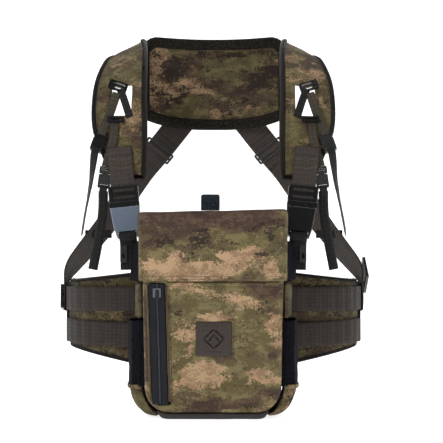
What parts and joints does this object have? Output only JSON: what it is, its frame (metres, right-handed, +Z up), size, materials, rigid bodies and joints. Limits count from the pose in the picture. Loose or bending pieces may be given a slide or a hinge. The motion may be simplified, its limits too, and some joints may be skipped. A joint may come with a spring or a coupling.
{
  "type": "binocular harness pack",
  "caption": "Chest pack for binoculars with a fold-over lid, zipped front pocket and stretch side pockets, on padded shoulder straps with a yoke and a padded waist belt.",
  "frame": {"origin": "centre of the flat chest pad's face on the back of the pack, which rests on the wearer", "axes": "+Y out of the chest pad towards the wearer, so the pack's front looks along -Y; +Z up; +X to the right seen from the front"},
  "size_m": [0.3319, 0.3218, 0.405],
  "materials": {
    "camo_fabric": "brushed tricot printed with a mottled field camouflage",
    "dark_fabric": "dark stretch-woven nylon",
    "dark_trim": "dark brown binding tape",
    "spacer_mesh": "knitted spacer mesh",
    "webbing_brown": "brown-grey nylon webbing",
    "webbing_black": "black nylon webbing",
    "black_plastic": "moulded acetal, slightly glossy",
    "zip_metal": "black painted zinc alloy",
    "zip_coil": "nylon coil",
    "zip_tape": "polyurethane-coated zip tape",
    "magnet": "nickel-plated magnets",
    "patch_leather": "embossed brown leather",
    "base_rubber": "coated hard-wearing fabric",
    "stiffener": "polyethylene sheet"
  },
  "bodies": {
    "pack_and_harness": {"anchor_webbing_left": "webbing_black", "anchor_webbing_right": "webbing_black", "back_panel": "spacer_mesh", "base_panel": "base_rubber", "belt_locks": "black_plastic", "belt_rear_webbing": "webbing_black", "belt_webbing_left": "webbing_brown", "belt_webbing_right": "webbing_brown", "belt_wing_left": "camo_fabric", "belt_wing_right": "camo_fabric", "body_magnets": "magnet", "buckle_female_left": "black_plastic", "buckle_female_right": "black_plastic", "chest_pad": "spacer_mesh", "corner_gussets": "camo_fabric", "floor_board": "stiffener", "front_pocket": "camo_fabric", "hinge_strip": "dark_trim", "lower_plug_left": "black_plastic", "lower_plug_right": "black_plastic", "lower_socket_left": "black_plastic", "lower_socket_right": "black_plastic", "main_strap_left": "webbing_brown", "main_strap_right": "webbing_brown", "pack_shell": "camo_fabric", "pad_binding_left": "dark_trim", "pad_binding_right": "dark_trim", "pad_locks_left": "black_plastic", "pad_locks_right": "black_plastic", "pad_straps_left": "webbing_brown", "pad_straps_right": "webbing_brown", "patch": "patch_leather", "rear_glides": "black_plastic", "rear_strap_left": "webbing_brown", "rear_strap_right": "webbing_brown", "shoulder_pad_left": "camo_fabric", "shoulder_pad_right": "camo_fabric", "side_hooks": "black_plastic", "side_panels": "camo_fabric", "side_pocket_left": "dark_fabric", "side_pocket_right": "dark_fabric", "side_wing_left": "dark_fabric", "side_wing_right": "dark_fabric", "strap_tails_left": "webbing_black", "strap_tails_right": "webbing_black", "upper_plug_left": "black_plastic", "upper_plug_right": "black_plastic", "upper_socket_left": "black_plastic", "upper_socket_right": "black_plastic", "yoke_panel": "camo_fabric", "yoke_trim": "dark_trim", "zip_tapes": "zip_tape", "zip_teeth": "zip_coil"},
    "lid": {"lid_flap": "camo_fabric", "lid_magnets": "magnet", "lid_tab": "dark_fabric"},
    "zip_slider_body": {"zip_slider": "zip_metal"},
    "zip_pull_body": {"zip_pull": "zip_metal"},
    "buckle_left": {"buckle_male_left": "black_plastic"},
    "buckle_right": {"buckle_male_right": "black_plastic"}
  },
  "joints": [
    {"name": "lid_hinge", "type": "hinge", "parent": "pack_and_harness", "child": "lid", "pos_m": [0, -0.1035, 0.034], "axis": [1, 0, 0], "range_deg": [0, 100]},
    {"name": "zip_travel", "type": "slide", "parent": "pack_and_harness", "child": "zip_slider_body", "axis": [0.0299, 0, -0.9996], "range_m": [0, 0.103]},
    {"name": "zip_pull_flip", "type": "hinge", "parent": "zip_slider_body", "child": "zip_pull_body", "pos_m": [-0.05572, -0.1031, 0.0252], "axis": [-1, 0, 0], "range_deg": [0, 110]},
    {"name": "buckle_release_left", "type": "slide", "parent": "pack_and_harness", "child": "buckle_left", "axis": [-0.1022, 0.1635, 0.9812], "range_m": [0, 0.022], "deforming": ["main_strap_left"]},
    {"name": "buckle_release_right", "type": "slide", "parent": "pack_and_harness", "child": "buckle_right", "axis": [0.1022, 0.1635, 0.9812], "range_m": [0, 0.022], "deforming": ["main_strap_right"]}
  ]
}
